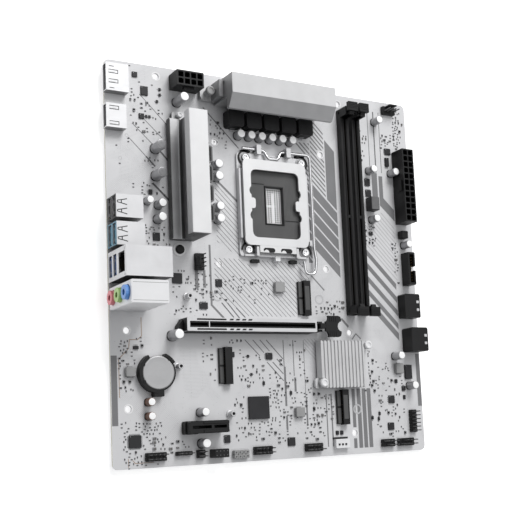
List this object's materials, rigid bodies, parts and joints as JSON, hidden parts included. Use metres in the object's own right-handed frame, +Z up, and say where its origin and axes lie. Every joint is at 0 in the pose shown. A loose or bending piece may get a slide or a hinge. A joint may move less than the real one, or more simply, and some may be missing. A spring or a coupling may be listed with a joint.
{
  "type": "computer motherboard",
  "caption": "Small desktop motherboard lying flat: white board with a levered processor socket, latched memory slots, expansion slots, heatsinks, power sockets and rear ports.",
  "frame": {"origin": "centre of the bounding box at its lowest level, which is the tips of the solder tails and the underside of the socket backplate", "axes": "+X from the rear port edge towards the front of the case, +Y towards the board's top edge with the processor socket, +Z up from the component side"},
  "size_m": [0.2234, 0.244, 0.0398],
  "materials": {
    "board_white": "white solder mask on glass laminate",
    "black_plastic": "moulded, fine matt",
    "contact_grey": "moulded, with metal contacts",
    "white_plastic": "moulded, semi-gloss",
    "white_metal": "white paint, satin",
    "satin_aluminium": "satin, bead blasted",
    "bright_steel": "bright plated",
    "plate_steel": "bright plated, satin",
    "cell_steel": "satin",
    "dark_ferrite": "dull dark grey",
    "jack_pink": "moulded",
    "jack_green": "moulded",
    "jack_blue": "moulded",
    "teal_plastic": "moulded",
    "blue_plastic": "moulded",
    "brown_sleeve": "shrunk film sleeve",
    "gold_contact": "plated",
    "silk_grey": "printed ink"
  },
  "bodies": {
    "board": {"audio_jack_blue": "jack_blue", "audio_jack_green": "jack_green", "audio_jack_pink": "jack_pink", "audio_jack_stack": "white_plastic", "battery": "cell_steel", "battery_holder": "black_plastic", "card_post_1": "bright_steel", "card_post_2": "bright_steel", "card_post_3": "bright_steel", "chipset_heatsink": "white_metal", "chipset_pin_1": "white_plastic", "chipset_pin_2": "white_plastic", "choke_left_1": "dark_ferrite", "choke_left_2": "dark_ferrite", "choke_left_3": "dark_ferrite", "choke_left_4": "dark_ferrite", "choke_top_1": "dark_ferrite", "choke_top_2": "dark_ferrite", "choke_top_3": "dark_ferrite", "choke_top_4": "dark_ferrite", "choke_top_5": "dark_ferrite", "circuit_board": "board_white", "controller_chip": "dark_ferrite", "drive_port_a": "black_plastic", "drive_port_b": "black_plastic", "dual_port_stack_black": "bright_steel", "dual_port_stack_teal": "bright_steel", "front_port_socket": "black_plastic", "heatsink_pin_left": "white_plastic", "heatsink_pin_top": "white_plastic", "long_slot": "black_plastic", "long_slot_shield": "bright_steel", "main_power_socket": "black_plastic", "memory_slot_a": "black_plastic", "memory_slot_b": "black_plastic", "network_port_stack": "bright_steel", "power_heatsink_left": "satin_aluminium", "power_heatsink_top": "white_metal", "processor_power_socket": "black_plastic", "short_slot": "black_plastic", "socket_backplate": "bright_steel", "socket_body": "contact_grey", "socket_frame": "bright_steel", "socket_screw_1": "bright_steel", "socket_screw_2": "bright_steel", "socket_screw_3": "bright_steel", "socket_screw_4": "bright_steel", "storage_socket_1": "black_plastic", "storage_socket_2": "black_plastic", "video_port_1": "bright_steel", "video_port_2": "bright_steel", "wireless_socket": "black_plastic"},
    "load_lever": {"load_lever": "bright_steel"},
    "load_plate": {"load_plate": "plate_steel"},
    "memory_latch_a_top": {"memory_latch_a_top": "black_plastic"},
    "memory_latch_a_bottom": {"memory_latch_a_bottom": "black_plastic"},
    "memory_latch_b_top": {"memory_latch_b_top": "black_plastic"},
    "memory_latch_b_bottom": {"memory_latch_b_bottom": "black_plastic"},
    "long_slot_latch": {"long_slot_latch": "black_plastic"}
  },
  "joints": [
    {"name": "load_lever_swing", "type": "hinge", "parent": "board", "child": "load_lever", "pos_m": [0.0005, 0.0755, 0.0072], "axis": [-1, 0, 0], "range_deg": [0, 110]},
    {"name": "load_plate_swing", "type": "hinge", "parent": "board", "child": "load_plate", "pos_m": [0.0005, 0.0094, 0.0082], "axis": [1, 0, 0], "range_deg": [0, 110]},
    {"name": "memory_latch_a_top_tilt", "type": "hinge", "parent": "board", "child": "memory_latch_a_top", "pos_m": [0.05695, 0.1081, 0.0075], "axis": [-1, 0, 0], "range_deg": [0, 30]},
    {"name": "memory_latch_a_bottom_tilt", "type": "hinge", "parent": "board", "child": "memory_latch_a_bottom", "pos_m": [0.05695, -0.0281, 0.0075], "axis": [1, 0, 0], "range_deg": [0, 30]},
    {"name": "memory_latch_b_top_tilt", "type": "hinge", "parent": "board", "child": "memory_latch_b_top", "pos_m": [0.06595, 0.1081, 0.0075], "axis": [-1, 0, 0], "range_deg": [0, 30]},
    {"name": "memory_latch_b_bottom_tilt", "type": "hinge", "parent": "board", "child": "memory_latch_b_bottom", "pos_m": [0.06595, -0.0281, 0.0075], "axis": [1, 0, 0], "range_deg": [0, 30]},
    {"name": "long_slot_latch_tip", "type": "hinge", "parent": "board", "child": "long_slot_latch", "pos_m": [0.02705, -0.0389, 0.0072], "axis": [0, 1, 0], "range_deg": [0, 20]}
  ]
}
